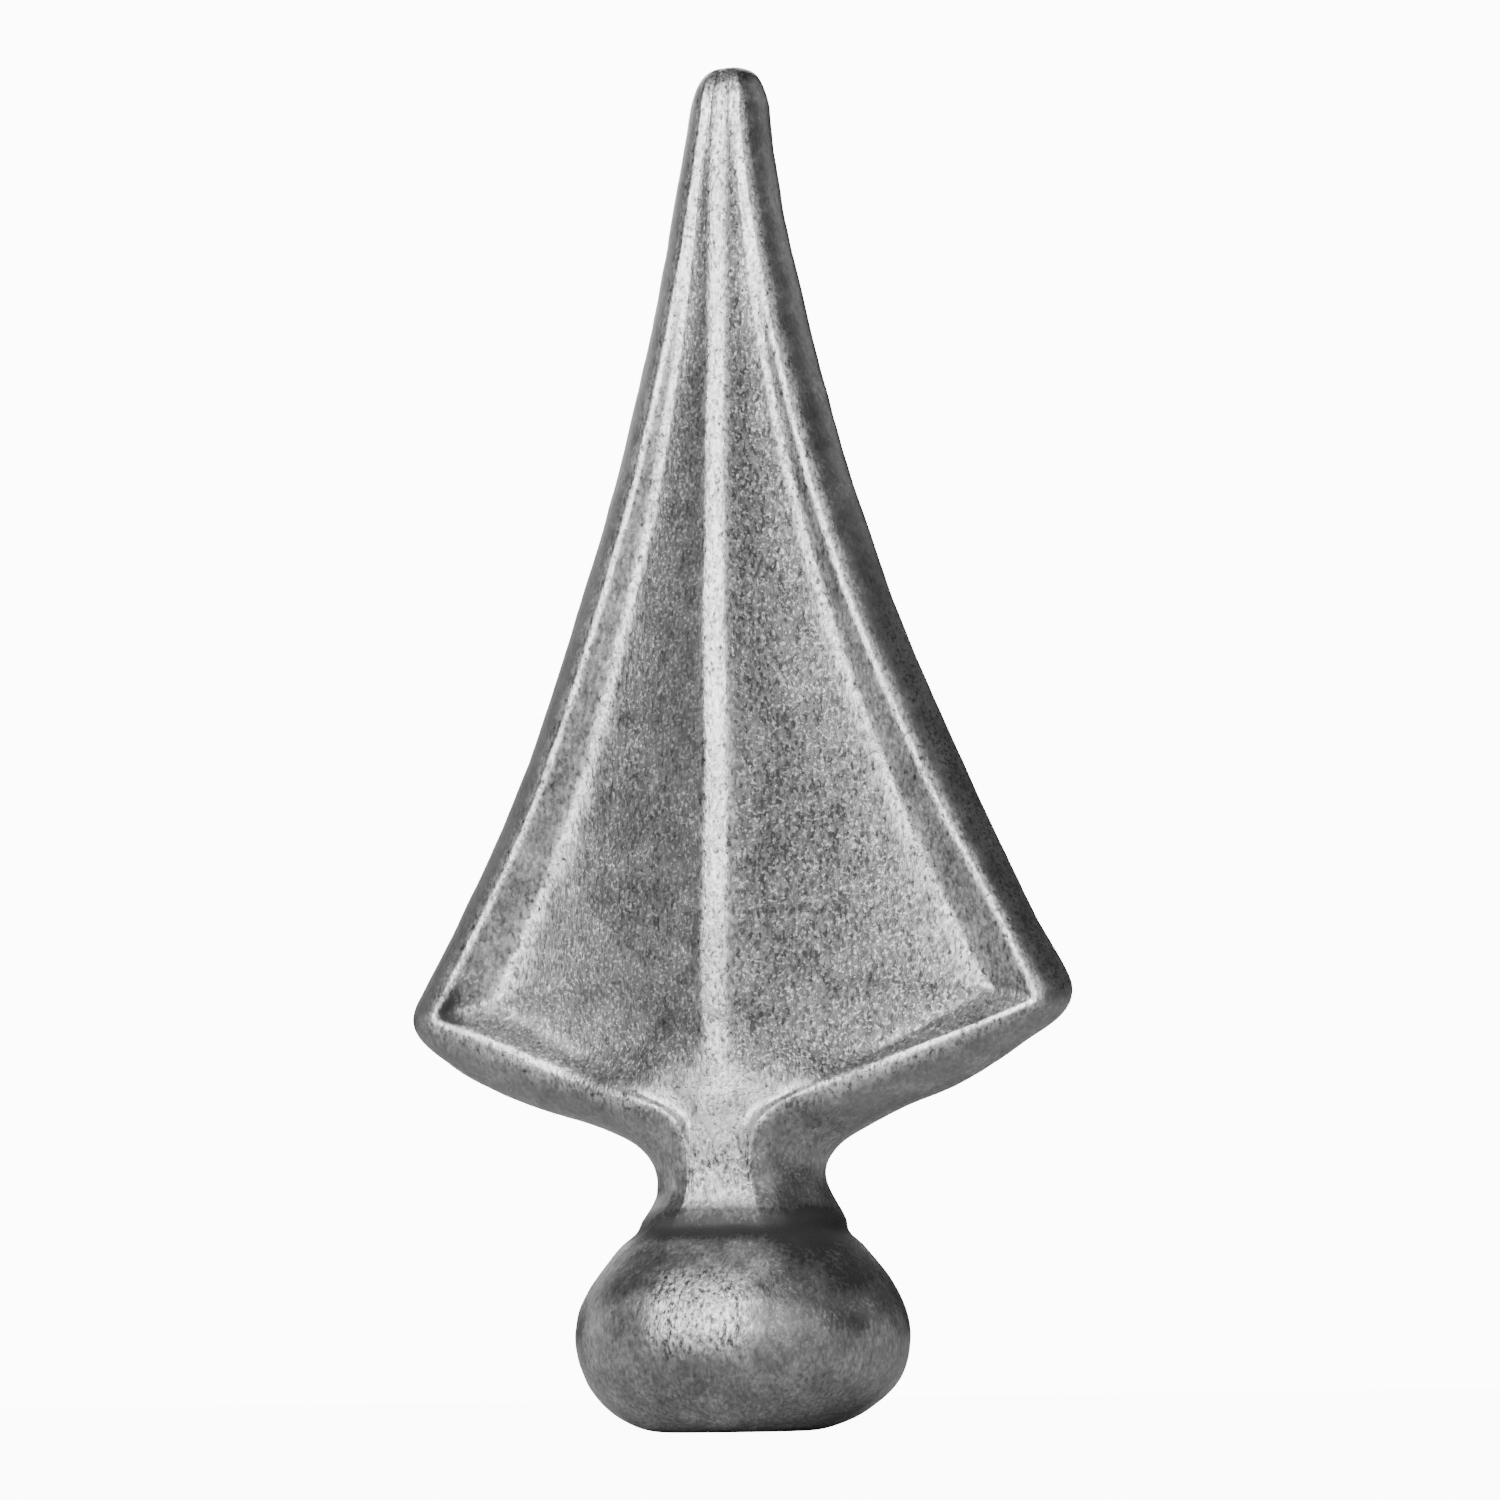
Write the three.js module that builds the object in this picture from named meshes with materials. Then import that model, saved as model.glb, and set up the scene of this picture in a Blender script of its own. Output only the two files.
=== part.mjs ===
// Spearhead finial for a steel fence, hot forged in one piece: a bulb that stands on a flat
// underside, a rounded square neck, and a kite-shaped blade with a raised rim round its edge,
// hollow fields and a straight rib up the middle. Millimetres, +Z up, the blade in the XZ plane,
// its front towards -Y. Left and right, and front and back, are mirror images.

import * as THREE from 'three';

// Overall
const HEIGHT = 150;

// Bulb and underside
const BULB_RADIUS = 17.9;
const BULB_WIDEST_Z = 9.8;
const UNDERSIDE_RADIUS = 8.8;
const HEEL_ROUNDNESS = 1.85;
const SHOULDER_FULLNESS = 1.08;
const BULB_SQUARENESS = 2.25;

// Neck, a square bar with well rounded corners, and the crease where it sinks into the bulb
const NECK_HALF_WIDTH = 9.1;
const NECK_HALF_DEPTH = 8.8;
const NECK_SQUARENESS = 2.9;
const NECK_FOOT_Z = 25.2;
const NECK_FACE_HALF = 3.5;
const NECK_HOLLOW_HALF = 2.4;
const NECK_TOP_Z = 26.8;
const CREASE_Z = 22.4;
const CREASE_DEPTH = 0.45;
const CREASE_HALF_HEIGHT = 1.1;

// Blade outline at the parting line, one side of the axis
const WAIST_Z = 30.1;
const CORNER_X = 39.4;
const CORNER_Z = 42.8;
const CORNER_ROUNDING = 7.0;
const WAIST_ROUNDING = 4.7;
const EDGE_BOW = 4.9;
const TIP_HALF_WIDTH = 4.85;
const TIP_SHOULDER_Z = 143.8;
const TIP_FLAT = 0.34;

// Rim: its crest runs inside the outline, and its inner wall slopes down to a groove
const CREST_CORNER_X = 34.3;
const CREST_CORNER_Z = 44.6;
const CREST_WAIST_Z = 33.8;
const CREST_WAIST_ROUNDING = 7.5;
const CREST_TIP_X = 2.3;
const CREST_BOW = 5.2;
const CREST_LAND = 0.7;
const LAND_FALL_SHARE = 0.3;
const GROOVE_CORNER_X = 27.2;
const GROOVE_CORNER_Z = 47.0;
const GROOVE_WAIST_Z = 36.4;
const GROOVE_TIP_X = 1.75;
const GROOVE_BOW = 4.9;
const SHARP_ROUNDING = 1.1;

// Rib up the middle of the blade
const RIB_HALF_WIDTH = 1.65;
const RIB_TIP_HALF_WIDTH = 1.05;
const RIB_WAIST_Z = 37.2;
const RIB_CORNER_Z = 51.5;
const RIB_CROWN = 0.2;
const RIB_PEAK_Z = 57;
const RIB_PEAK_HALF_DEPTH = 9.9;
const RIB_TIP_HALF_DEPTH = 4.1;
const RIB_EARLY_FALL = 0.9;

// Half thickness of the blade at some stations along its edge: -1 and 0 the neck's foot and
// head, 1 and 2 the start and end of the bottom edge, 3 and 4 the foot and head of the side edge
const STATIONS = [-1, 0, 1, 1.45, 2, 3, 3.45, 3.7, 4];
const CREST_HALF_DEPTH = [8.5, 8.3, 6.2, 4.7, 4.2, 4.1, 4.5, 4.5, 3.8];
const GROOVE_HALF_DEPTH = [8.7, 8.7, 7.1, 3.9, 2.5, 2.4, 3.6, 4.1, 3.75];
const NECK_BULGE = 1.2;
const WALL_BULGE = 0.5;

// How the hollow field climbs from the groove to the rib: the straight share of the rise
const FIELD_STRAIGHT_SHARE = 0.4;

// Fineness of the faceting: points from the parting line to the rib, and rings for each stretch
const WALL_STEPS = 4;
const FIELD_STEPS = 4;
const COLUMNS = WALL_STEPS + 2 + FIELD_STEPS + 1;
const HEEL_RINGS = 7;
const SHOULDER_RINGS = 16;
const NECK_RINGS = 2;
const WAIST_RINGS = 6;
const BOTTOM_RINGS = 8;
const CORNER_RINGS = 7;
const SIDE_RINGS = 26;
const CAP_RINGS = 5;

const STEEL_GREY = 0x8c8c8c;

const mix = (a, b, t) => a + (b - a) * t;
const mixPoints = (a, b, t) => [mix(a[0], b[0], t), mix(a[1], b[1], t)];
const smooth = (t) => t * t * (3 - 2 * t);
const fade = (t) => (1 + Math.cos(Math.PI * t)) / 2;
const clamp = (t) => Math.min(Math.max(t, 0), 1);

// A value that passes smoothly through one number at each station
function along(values, station) {
  let i = 0;
  while (i < STATIONS.length - 2 && station > STATIONS[i + 1]) {
    i += 1;
  }
  const t = (station - STATIONS[i]) / (STATIONS[i + 1] - STATIONS[i]);
  return mix(values[i], values[i + 1], smooth(clamp(t)));
}

// A quadratic curve from a to c that starts towards b and arrives from it
function bend(a, b, c, t) {
  return mixPoints(mixPoints(a, b, t), mixPoints(b, c, t), t);
}

// A guide line in the XZ plane, running up the neck to the waist, out along the blade's bottom
// edge to the corner, and up the hollow side edge to the tip. Stations: -1 to 0 is the neck,
// 0 to 1 the waist's fillet, 1 to 2 the bottom edge, 2 to 3 the corner, 3 to 4 the side edge.
function guideLine({ foot, waist, corner, tip, bow, waistRounding, cornerRounding }) {
  const length = (a, b) => Math.hypot(b[0] - a[0], b[1] - a[1]);
  const towards = (a, b, distance) => mixPoints(a, b, distance / length(a, b));
  const chord = length(corner, tip);
  const inward = [-(tip[1] - corner[1]) / chord, (tip[0] - corner[0]) / chord];
  const middle = mixPoints(corner, tip, 0.5);
  const pull = [middle[0] + 2 * bow * inward[0], middle[1] + 2 * bow * inward[1]];
  const side = (t) => bend(corner, pull, tip, t);
  const neckEnd = towards(waist, foot, waistRounding);
  const bottomStart = towards(waist, corner, waistRounding);
  const bottomEnd = towards(corner, waist, cornerRounding);
  const sideStart = cornerRounding / chord;
  return (station) => {
    if (station <= 0) return mixPoints(foot, neckEnd, station + 1);
    if (station <= 1) return bend(neckEnd, waist, bottomStart, station);
    if (station <= 2) return mixPoints(bottomStart, bottomEnd, station - 1);
    if (station <= 3) return bend(bottomEnd, corner, side(sideStart), station - 2);
    return side(mix(sideStart, 1, station - 3));
  };
}

const outline = guideLine({
  foot: [NECK_HALF_WIDTH, NECK_FOOT_Z],
  waist: [NECK_HALF_WIDTH, WAIST_Z],
  corner: [CORNER_X, CORNER_Z],
  tip: [TIP_HALF_WIDTH, TIP_SHOULDER_Z],
  bow: EDGE_BOW,
  waistRounding: WAIST_ROUNDING,
  cornerRounding: CORNER_ROUNDING,
});
const crest = guideLine({
  foot: [NECK_FACE_HALF, NECK_FOOT_Z],
  waist: [NECK_FACE_HALF, CREST_WAIST_Z],
  corner: [CREST_CORNER_X, CREST_CORNER_Z],
  tip: [CREST_TIP_X, TIP_SHOULDER_Z],
  bow: CREST_BOW,
  waistRounding: CREST_WAIST_ROUNDING,
  cornerRounding: SHARP_ROUNDING,
});
const groove = guideLine({
  foot: [NECK_HOLLOW_HALF, NECK_FOOT_Z],
  waist: [NECK_HOLLOW_HALF, GROOVE_WAIST_Z],
  corner: [GROOVE_CORNER_X, GROOVE_CORNER_Z],
  tip: [GROOVE_TIP_X, TIP_SHOULDER_Z],
  bow: GROOVE_BOW,
  waistRounding: WAIST_ROUNDING / 2,
  cornerRounding: SHARP_ROUNDING,
});

// The rib's edge: where the line of each station ends, at the rib's half width
const ribLine = guideLine({
  foot: [RIB_HALF_WIDTH, NECK_FOOT_Z],
  waist: [RIB_HALF_WIDTH, RIB_WAIST_Z],
  corner: [RIB_HALF_WIDTH, RIB_CORNER_Z],
  tip: [RIB_TIP_HALF_WIDTH, TIP_SHOULDER_Z],
  bow: 0,
  waistRounding: WAIST_ROUNDING / 2,
  cornerRounding: SHARP_ROUNDING,
});

// Half depth of the rib at a height: from the neck's face up to a broad peak, then down to
// the tip
function ribHalfDepth(z) {
  if (z < RIB_PEAK_Z) {
    const t = (RIB_PEAK_Z - z) / (RIB_PEAK_Z - NECK_FOOT_Z);
    return mix(RIB_PEAK_HALF_DEPTH, NECK_HALF_DEPTH, t * t);
  }
  const t = (z - RIB_PEAK_Z) / (HEIGHT - RIB_PEAK_Z);
  return mix(RIB_TIP_HALF_DEPTH, RIB_PEAK_HALF_DEPTH, fade(clamp(t) ** RIB_EARLY_FALL));
}

// One quarter of the ring of points round the blade at a station, from the parting line over
// the rim's outer wall, crest and groove, and across the field to the middle of the rib.
// A point is [half width, half depth, height].
function bladeQuarter(station) {
  const [outX, outZ] = outline(station);
  const [crestX, crestZ] = crest(station);
  const [grooveX, grooveZ] = groove(station);
  const [ribX, ribZ] = ribLine(station);
  const crestDepth = along(CREST_HALF_DEPTH, station);
  const grooveDepth = along(GROOVE_HALF_DEPTH, station);
  const ribDepth = ribHalfDepth(ribZ);
  const bulge = mix(NECK_BULGE, WALL_BULGE, smooth(clamp(station)));
  const points = [];
  for (let i = 0; i <= WALL_STEPS; i += 1) {
    const t = i / WALL_STEPS;
    const round = (t * Math.PI) / 2;
    const inwards = mix(t, 1 - Math.cos(round), bulge);
    const depth = mix(t, Math.sin(round), bulge);
    points.push([mix(outX, crestX, inwards), crestDepth * depth, mix(outZ, crestZ, inwards)]);
  }
  const wallLength = Math.hypot(crestX - grooveX, crestZ - grooveZ);
  const land = Math.min(CREST_LAND / wallLength, 0.5);
  points.push([
    mix(crestX, grooveX, land),
    mix(crestDepth, grooveDepth, land * LAND_FALL_SHARE),
    mix(crestZ, grooveZ, land),
  ]);
  points.push([grooveX, grooveDepth, grooveZ]);
  for (let i = 1; i <= FIELD_STEPS; i += 1) {
    const t = i / FIELD_STEPS;
    const rise = mix(t * t, t, FIELD_STRAIGHT_SHARE);
    points.push([
      mix(grooveX, ribX, t),
      mix(grooveDepth, ribDepth, rise),
      mix(grooveZ, ribZ, t),
    ]);
  }
  points.push([0, ribDepth + RIB_CROWN, ribZ]);
  return points;
}

// Half width of the bulb and neck at a height, a flat underside below and the crease above
function stemHalfWidth(z) {
  if (z <= BULB_WIDEST_Z) {
    const t = 1 - z / BULB_WIDEST_Z;
    const reach = (1 - t ** HEEL_ROUNDNESS) ** (1 / HEEL_ROUNDNESS);
    return mix(UNDERSIDE_RADIUS, BULB_RADIUS, reach);
  }
  const t = (z - BULB_WIDEST_Z) / (NECK_TOP_Z - BULB_WIDEST_Z);
  const crease = Math.max(0, 1 - Math.abs(z - CREASE_Z) / CREASE_HALF_HEIGHT);
  const body = mix(NECK_HALF_WIDTH, BULB_RADIUS, fade(t ** SHOULDER_FULLNESS));
  return body - CREASE_DEPTH * crease;
}

// One quarter of the ring of points round the bulb or neck at a height. Its points start evenly
// spaced round the bulb and close up, higher, to meet the blade's own spacing on the neck.
function stemQuarter(z, neckPoints) {
  const reach = stemHalfWidth(z);
  const rise = clamp((z - BULB_WIDEST_Z) / (NECK_FOOT_Z - BULB_WIDEST_Z));
  const power = mix(BULB_SQUARENESS, NECK_SQUARENESS, smooth(rise));
  const flatten = mix(1, NECK_HALF_DEPTH / NECK_HALF_WIDTH, smooth(rise));
  const points = [];
  for (let i = 0; i <= COLUMNS; i += 1) {
    const even = (i / COLUMNS) * (Math.PI / 2);
    const onNeck = Math.atan2(neckPoints[i][1], neckPoints[i][0]);
    const angle = mix(even, onNeck, smooth(rise));
    const c = Math.cos(angle);
    const s = Math.sin(angle);
    const radius = reach / (Math.abs(c) ** power + Math.abs(s) ** power) ** (1 / power);
    points.push([radius * c, radius * s * flatten, z]);
  }
  return points;
}

// The tip's rounded end: the blade's last ring drawn in towards the axis as it rises
function capQuarter(lastPoints, turn) {
  const size = mix(1, TIP_FLAT, 1 - Math.cos(turn));
  const rise = (HEIGHT - TIP_SHOULDER_Z) * Math.sin(turn);
  return lastPoints.map(([x, y, z]) => [x * size, y * size, z + rise]);
}

// A whole ring from one quarter, mirrored to the four quarters of the plan
function wholeRing(quarter) {
  const last = quarter.length - 1;
  const ring = [];
  quarter.forEach(([x, y, z]) => ring.push([x, -y, z]));
  for (let i = last - 1; i >= 0; i -= 1) {
    ring.push([-quarter[i][0], -quarter[i][1], quarter[i][2]]);
  }
  for (let i = 1; i <= last; i += 1) {
    ring.push([-quarter[i][0], quarter[i][1], quarter[i][2]]);
  }
  for (let i = last - 1; i >= 1; i -= 1) {
    ring.push([quarter[i][0], quarter[i][1], quarter[i][2]]);
  }
  return ring;
}

function finialRings() {
  const neckPoints = bladeQuarter(-1);
  const quarters = [];
  for (let i = 0; i <= HEEL_RINGS; i += 1) {
    const turn = (i / HEEL_RINGS) * (Math.PI / 2);
    quarters.push(stemQuarter(BULB_WIDEST_Z * (1 - Math.cos(turn)), neckPoints));
  }
  for (let i = 1; i <= SHOULDER_RINGS; i += 1) {
    const z = mix(BULB_WIDEST_Z, NECK_FOOT_Z, i / SHOULDER_RINGS);
    quarters.push(stemQuarter(z, neckPoints));
  }
  const stretches = [NECK_RINGS, WAIST_RINGS, BOTTOM_RINGS, CORNER_RINGS, SIDE_RINGS];
  stretches.forEach((count, stretch) => {
    for (let i = 1; i <= count; i += 1) {
      quarters.push(bladeQuarter(stretch - 1 + i / count));
    }
  });
  const lastPoints = quarters[quarters.length - 1];
  for (let i = 1; i <= CAP_RINGS; i += 1) {
    quarters.push(capQuarter(lastPoints, (i / CAP_RINGS) * (Math.PI / 2)));
  }
  return quarters.map(wholeRing);
}

// Skins the rings with triangles, each cell split along its shorter diagonal, and closes the
// underside and the tip with flat fans
function skinRings(rings) {
  const round = rings[0].length;
  const positions = rings.flat();
  const faces = [];
  const distance = (a, b) => {
    const [p, q] = [positions[a], positions[b]];
    return Math.hypot(p[0] - q[0], p[1] - q[1], p[2] - q[2]);
  };
  for (let r = 0; r < rings.length - 1; r += 1) {
    for (let i = 0; i < round; i += 1) {
      const next = (i + 1) % round;
      const a = r * round + i;
      const b = r * round + next;
      const c = (r + 1) * round + next;
      const d = (r + 1) * round + i;
      if (distance(a, c) <= distance(b, d)) {
        faces.push([a, c, b], [a, d, c]);
      } else {
        faces.push([a, d, b], [b, d, c]);
      }
    }
  }
  const top = (rings.length - 1) * round;
  const underside = positions.push([0, 0, 0]) - 1;
  const summit = positions.push([0, 0, positions[top][2]]) - 1;
  for (let i = 0; i < round; i += 1) {
    const next = (i + 1) % round;
    faces.push([underside, i, next], [summit, top + next, top + i]);
  }
  const geometry = new THREE.BufferGeometry();
  geometry.setAttribute('position', new THREE.Float32BufferAttribute(positions.flat(), 3));
  geometry.setIndex(faces.flat());
  geometry.computeVertexNormals();
  return geometry;
}

function makeFinial() {
  const steel = new THREE.MeshStandardMaterial({
    color: STEEL_GREY,
    roughness: 0.5,
    metalness: 1,
  });
  const finial = new THREE.Mesh(skinRings(finialRings()), steel);
  finial.name = 'spear_finial';
  return finial;
}

const model = new THREE.Group();
model.add(makeFinial());

export default model;
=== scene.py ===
# %% [markdown]
# # A forged spearhead finial
#
# The object is the head of a steel fence: one solid forging, 150 mm tall, with a bulb, a neck
# and a kite-shaped blade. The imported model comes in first, as a frame that is never moved. All
# that follows is made around it, in metres, with the blade in the XZ plane and its front
# towards -Y.

# %% Load the frame
import math

import bmesh
import bpy
from mathutils import Matrix, Vector


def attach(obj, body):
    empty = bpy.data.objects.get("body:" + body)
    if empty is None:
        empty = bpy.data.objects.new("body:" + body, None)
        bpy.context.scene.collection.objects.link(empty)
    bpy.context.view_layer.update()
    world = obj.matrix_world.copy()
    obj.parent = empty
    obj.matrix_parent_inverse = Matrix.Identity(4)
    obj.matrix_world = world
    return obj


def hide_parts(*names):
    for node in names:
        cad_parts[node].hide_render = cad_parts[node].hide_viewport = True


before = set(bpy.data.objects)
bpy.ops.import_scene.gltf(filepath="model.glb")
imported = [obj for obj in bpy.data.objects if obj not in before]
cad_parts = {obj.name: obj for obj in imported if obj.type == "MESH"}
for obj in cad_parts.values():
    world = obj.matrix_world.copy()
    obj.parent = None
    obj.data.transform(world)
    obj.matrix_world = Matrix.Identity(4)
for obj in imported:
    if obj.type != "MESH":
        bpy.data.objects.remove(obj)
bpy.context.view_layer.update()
MM = 0.001

# %% [markdown]
# ## The camera
#
# It stands where the photo seems to be taken from: a long lens low over the table, aimed at the
# middle of the finial and turned a little to the right of its front, so that the right wall of
# the rim shows wider than the left. Its roll leans the tip a little to the left. A look-at
# constraint would give no roll, so the three axes of the view are worked out as vectors.

# %% Camera
PHOTO_PIXELS = 1500
MM_PER_PIXEL = 0.1092
SENSOR_MM = 36
CAMERA_TURN = math.radians(15.5)
CAMERA_ROLL = math.radians(0.80)
CAMERA_DISTANCE = 560 * MM
CAMERA_HEIGHT = 4 * MM
AIM = Vector((1.65, 0, 73.8)) * MM
NEAREST_SHOWN = 10 * MM
FARTHEST_SHOWN_METRES = 50


def look_axes(turn, pitch, roll):
    """The view's right, up and backward directions for a camera turned from the front."""
    level = math.cos(pitch)
    back = Vector((math.sin(turn) * level, -math.cos(turn) * level, math.sin(pitch)))
    right = Vector((math.cos(turn), math.sin(turn), 0))
    up = back.cross(right)
    rolled_right = right * math.cos(roll) - up * math.sin(roll)
    rolled_up = right * math.sin(roll) + up * math.cos(roll)
    return rolled_right, rolled_up, back


pitch = -math.asin((AIM.z - CAMERA_HEIGHT) / CAMERA_DISTANCE)
right, up, back = look_axes(CAMERA_TURN, pitch, CAMERA_ROLL)
camera_data = bpy.data.cameras.new("camera")
camera = bpy.data.objects.new("camera", camera_data)
bpy.context.scene.collection.objects.link(camera)
place = AIM + back * CAMERA_DISTANCE
turn = Matrix((right, up, back)).transposed().to_4x4()
camera.matrix_world = Matrix.Translation(place) @ turn
camera_data.sensor_width = SENSOR_MM
camera_data.lens = SENSOR_MM * CAMERA_DISTANCE / MM / (PHOTO_PIXELS * MM_PER_PIXEL)
camera_data.clip_start = NEAREST_SHOWN
camera_data.clip_end = FARTHEST_SHOWN_METRES
bpy.context.scene.camera = camera
print("lens", round(camera_data.lens, 1), "mm, camera", [round(x / MM) for x in place])

# %% [markdown]
# ## Node and colour helpers
#
# Every material below is a handful of shader nodes. One function adds a node with its settings
# and its links, so that each material reads as a list of what it is made of, and one function
# turns the hex colour that a paint chart gives into the linear values that light needs.


# %% Helpers for materials
def linear(hex_colour):
    """A #rrggbb colour as linear red, green, blue and alpha."""
    channels = [int(hex_colour[i : i + 2], 16) / 255 for i in (1, 3, 5)]
    return [c / 12.92 if c <= 0.04045 else ((c + 0.055) / 1.055) ** 2.4 for c in channels] + [1]


def add_node(tree, kind, settings=None, **links):
    """Adds a node, sets its properties and feeds its inputs with values or other sockets.

    An input is named by its label in lower case with _ for spaces, or by in0, in1 and so on.
    """
    node = tree.nodes.new(kind)
    for name, value in (settings or {}).items():
        setattr(node, name, value)
    labels = {socket.name.lower().replace(" ", "_"): socket for socket in reversed(node.inputs)}
    for name, value in links.items():
        by_number = name[:2] == "in" and name[2:].isdigit()
        socket = node.inputs[int(name[2:])] if by_number else labels[name]
        if isinstance(value, bpy.types.NodeSocket):
            tree.links.new(value, socket)
        else:
            socket.default_value = value
    return node


def new_material(name):
    """An empty material: its tree and its output node."""
    material = bpy.data.materials.new(name)
    material.use_nodes = True
    material.node_tree.nodes.clear()
    output = material.node_tree.nodes.new("ShaderNodeOutputMaterial")
    return material, material.node_tree, output


print("middle grey #808080 is", round(linear("#808080")[0], 3), "in linear light")

# %% [markdown]
# ## Floor and sky
#
# The finial stands on a plain sheet under a plain sky. Both are white in the picture and nearly
# dark for the metal: the Light Path node tells a ray that comes from the camera from one that
# left the steel. White paper all round would fill every hollow with light and make the forging
# look flat. It could also be lit in black and cut out afterwards, but this way every view has
# its floor.

# %% World and floor
ROOM_GLOW = 0.03
SKY_TO_CAMERA = 12.0
FLOOR_TO_CAMERA = 11.0
FLOOR_METRES = 8

world = bpy.data.worlds.new("studio")
bpy.context.scene.world = world
world.use_nodes = True
world.node_tree.nodes.clear()
tree = world.node_tree
is_camera = add_node(tree, "ShaderNodeLightPath").outputs["Is Camera Ray"]
room = add_node(tree, "ShaderNodeBackground", color=linear("#ffffff"), strength=ROOM_GLOW)
white = add_node(tree, "ShaderNodeBackground", color=linear("#ffffff"), strength=SKY_TO_CAMERA)
sky = add_node(
    tree, "ShaderNodeMixShader", in0=is_camera, in1=room.outputs[0], in2=white.outputs[0]
)
add_node(tree, "ShaderNodeOutputWorld", surface=sky.outputs[0])

bpy.ops.object.select_all(action="DESELECT")
bpy.ops.mesh.primitive_plane_add(size=FLOOR_METRES, location=(0, 0, 0))
floor = bpy.context.active_object
floor.name = "floor"
# Matt pale paint: a dull light grey to the steel, plain white to the camera.
paint, tree, output = new_material("pale_floor_paint")
is_camera = add_node(tree, "ShaderNodeLightPath").outputs["Is Camera Ray"]
matt = add_node(tree, "ShaderNodeBsdfDiffuse", color=linear("#c0c0c0"))
bright = add_node(
    tree, "ShaderNodeEmission", color=linear("#ffffff"), strength=FLOOR_TO_CAMERA
)
mixed = add_node(
    tree, "ShaderNodeMixShader", in0=is_camera, in1=matt.outputs[0], in2=bright.outputs[0]
)
tree.links.new(mixed.outputs[0], output.inputs["Surface"])
floor.data.materials.append(paint)
print("floor of", FLOOR_METRES, "m, room glow", ROOM_GLOW)

# %% [markdown]
# ## Light
#
# Bare steel has no colour of its own to speak of: it shows what stands round it. So it is lit as
# silver is, with soft panels in a dark room, and each panel is there for a surface that would go
# black without it. The key stands in front, above and a little to the left of the blade's face:
# the rib, the crests and the neck's flat face look straight into it. A dim one overhead touches
# the bulb's top, one on the right serves the right field and the bulb's flank, and three dim ones
# further round give the outer walls their greys. The two behind are for whoever walks round the
# finial. Nothing stands high on the right in front, so the bulb's right shoulder stays dark.


# %% Lights
def soft_panel(name, turn_deg, height_deg, distance, width, height, watts):
    """A rectangular light that looks at the finial's middle from a turn and a height."""
    data = bpy.data.lights.new(name, "AREA")
    data.shape = "RECTANGLE"
    data.size = width
    data.size_y = height
    data.energy = watts
    panel = bpy.data.objects.new(name, data)
    bpy.context.scene.collection.objects.link(panel)
    right, up, back = look_axes(math.radians(turn_deg), math.radians(height_deg), 0)
    turn = Matrix((right, up, back)).transposed().to_4x4()
    middle = Vector((0, 0, PANEL_AIM_Z * MM))
    panel.matrix_world = Matrix.Translation(middle + back * distance) @ turn


PANEL_AIM_Z = 75
PANELS = [
    # Name, turn from the front and height in degrees, metres away, metres wide and tall, watts.
    ("key_panel", -14, 25, 0.9, 0.6, 0.8, 11.5),
    ("top_panel", -30, 82, 0.9, 0.5, 0.5, 0.35),
    ("right_panel", 45, 14, 1.0, 0.6, 0.7, 2.5),
    ("right_back_panel", 134, 2, 1.0, 0.6, 0.4, 0.4),
    ("back_panel", 198, 36, 1.0, 0.7, 0.7, 5),
    ("left_back_panel", -145, 30, 1.0, 0.9, 0.8, 2.4),
    ("right_wall_panel", 118, 34, 1.0, 0.5, 0.5, 0.6),
    ("left_panel", -98, 4, 1.0, 0.6, 0.6, 1.5),
]
for panel in PANELS:
    soft_panel(*panel)

# %% [markdown]
# ## The lines that the forging is drawn with
#
# A closed die is cut along a few clean lines, and the same lines draw the finial here: the
# outline at the parting line, the crest of the rim, the groove inside it and the edge of the
# rib. Each runs up the neck, turns out along the blade's bottom edge, rounds the corner and
# climbs the hollow side edge to the tip. Numbers between -1 and 4, called stations, say how far
# along a line is: -1 to 0 the neck, 0 to 1 the waist, 1 to 2 the bottom edge, 2 to 3 the corner
# and 3 to 4 the side edge. Sizes are millimetres from here until the rings are placed.

# %% Sizes of the forging
HEIGHT = 150
BULB_RADIUS = 17.9
BULB_WIDEST_Z = 9.8
UNDERSIDE_RADIUS = 8.8
HEEL_ROUNDNESS = 1.85
SHOULDER_FULLNESS = 1.08
BULB_SQUARENESS = 2.25
NECK_HALF_WIDTH = 9.1
NECK_HALF_DEPTH = 8.8
NECK_SQUARENESS = 2.9
NECK_FOOT_Z = 25.2
NECK_TOP_Z = 27.5
TIP_SHOULDER_Z = 143.8
TIP_FLAT = 0.34

print("height", HEIGHT, "mm, bulb", 2 * BULB_RADIUS, "mm, neck", 2 * NECK_HALF_WIDTH, "mm")


# %% Steps and curves
def mix(a, b, t):
    """The value a share t of the way from a to b."""
    return a + (b - a) * t


def smooth(t):
    """0 to 1 with a soft start and end."""
    t = min(max(t, 0), 1)
    return t * t * (3 - 2 * t)


def fade(t):
    """1 at 0 and 0 from 1 on, soft at both ends."""
    return (1 + math.cos(math.pi * min(max(t, 0), 1))) / 2


def band(value, limits):
    """0 below the first limit, 1 above the second, and smooth in between."""
    return smooth((value - limits[0]) / (limits[1] - limits[0]))


def bend(a, b, c, t):
    """A point of the curve from a to c that starts towards b."""
    return a.lerp(b, t).lerp(b.lerp(c, t), t)


print("a quarter of the way along, a smooth step is at", smooth(0.25))


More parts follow.
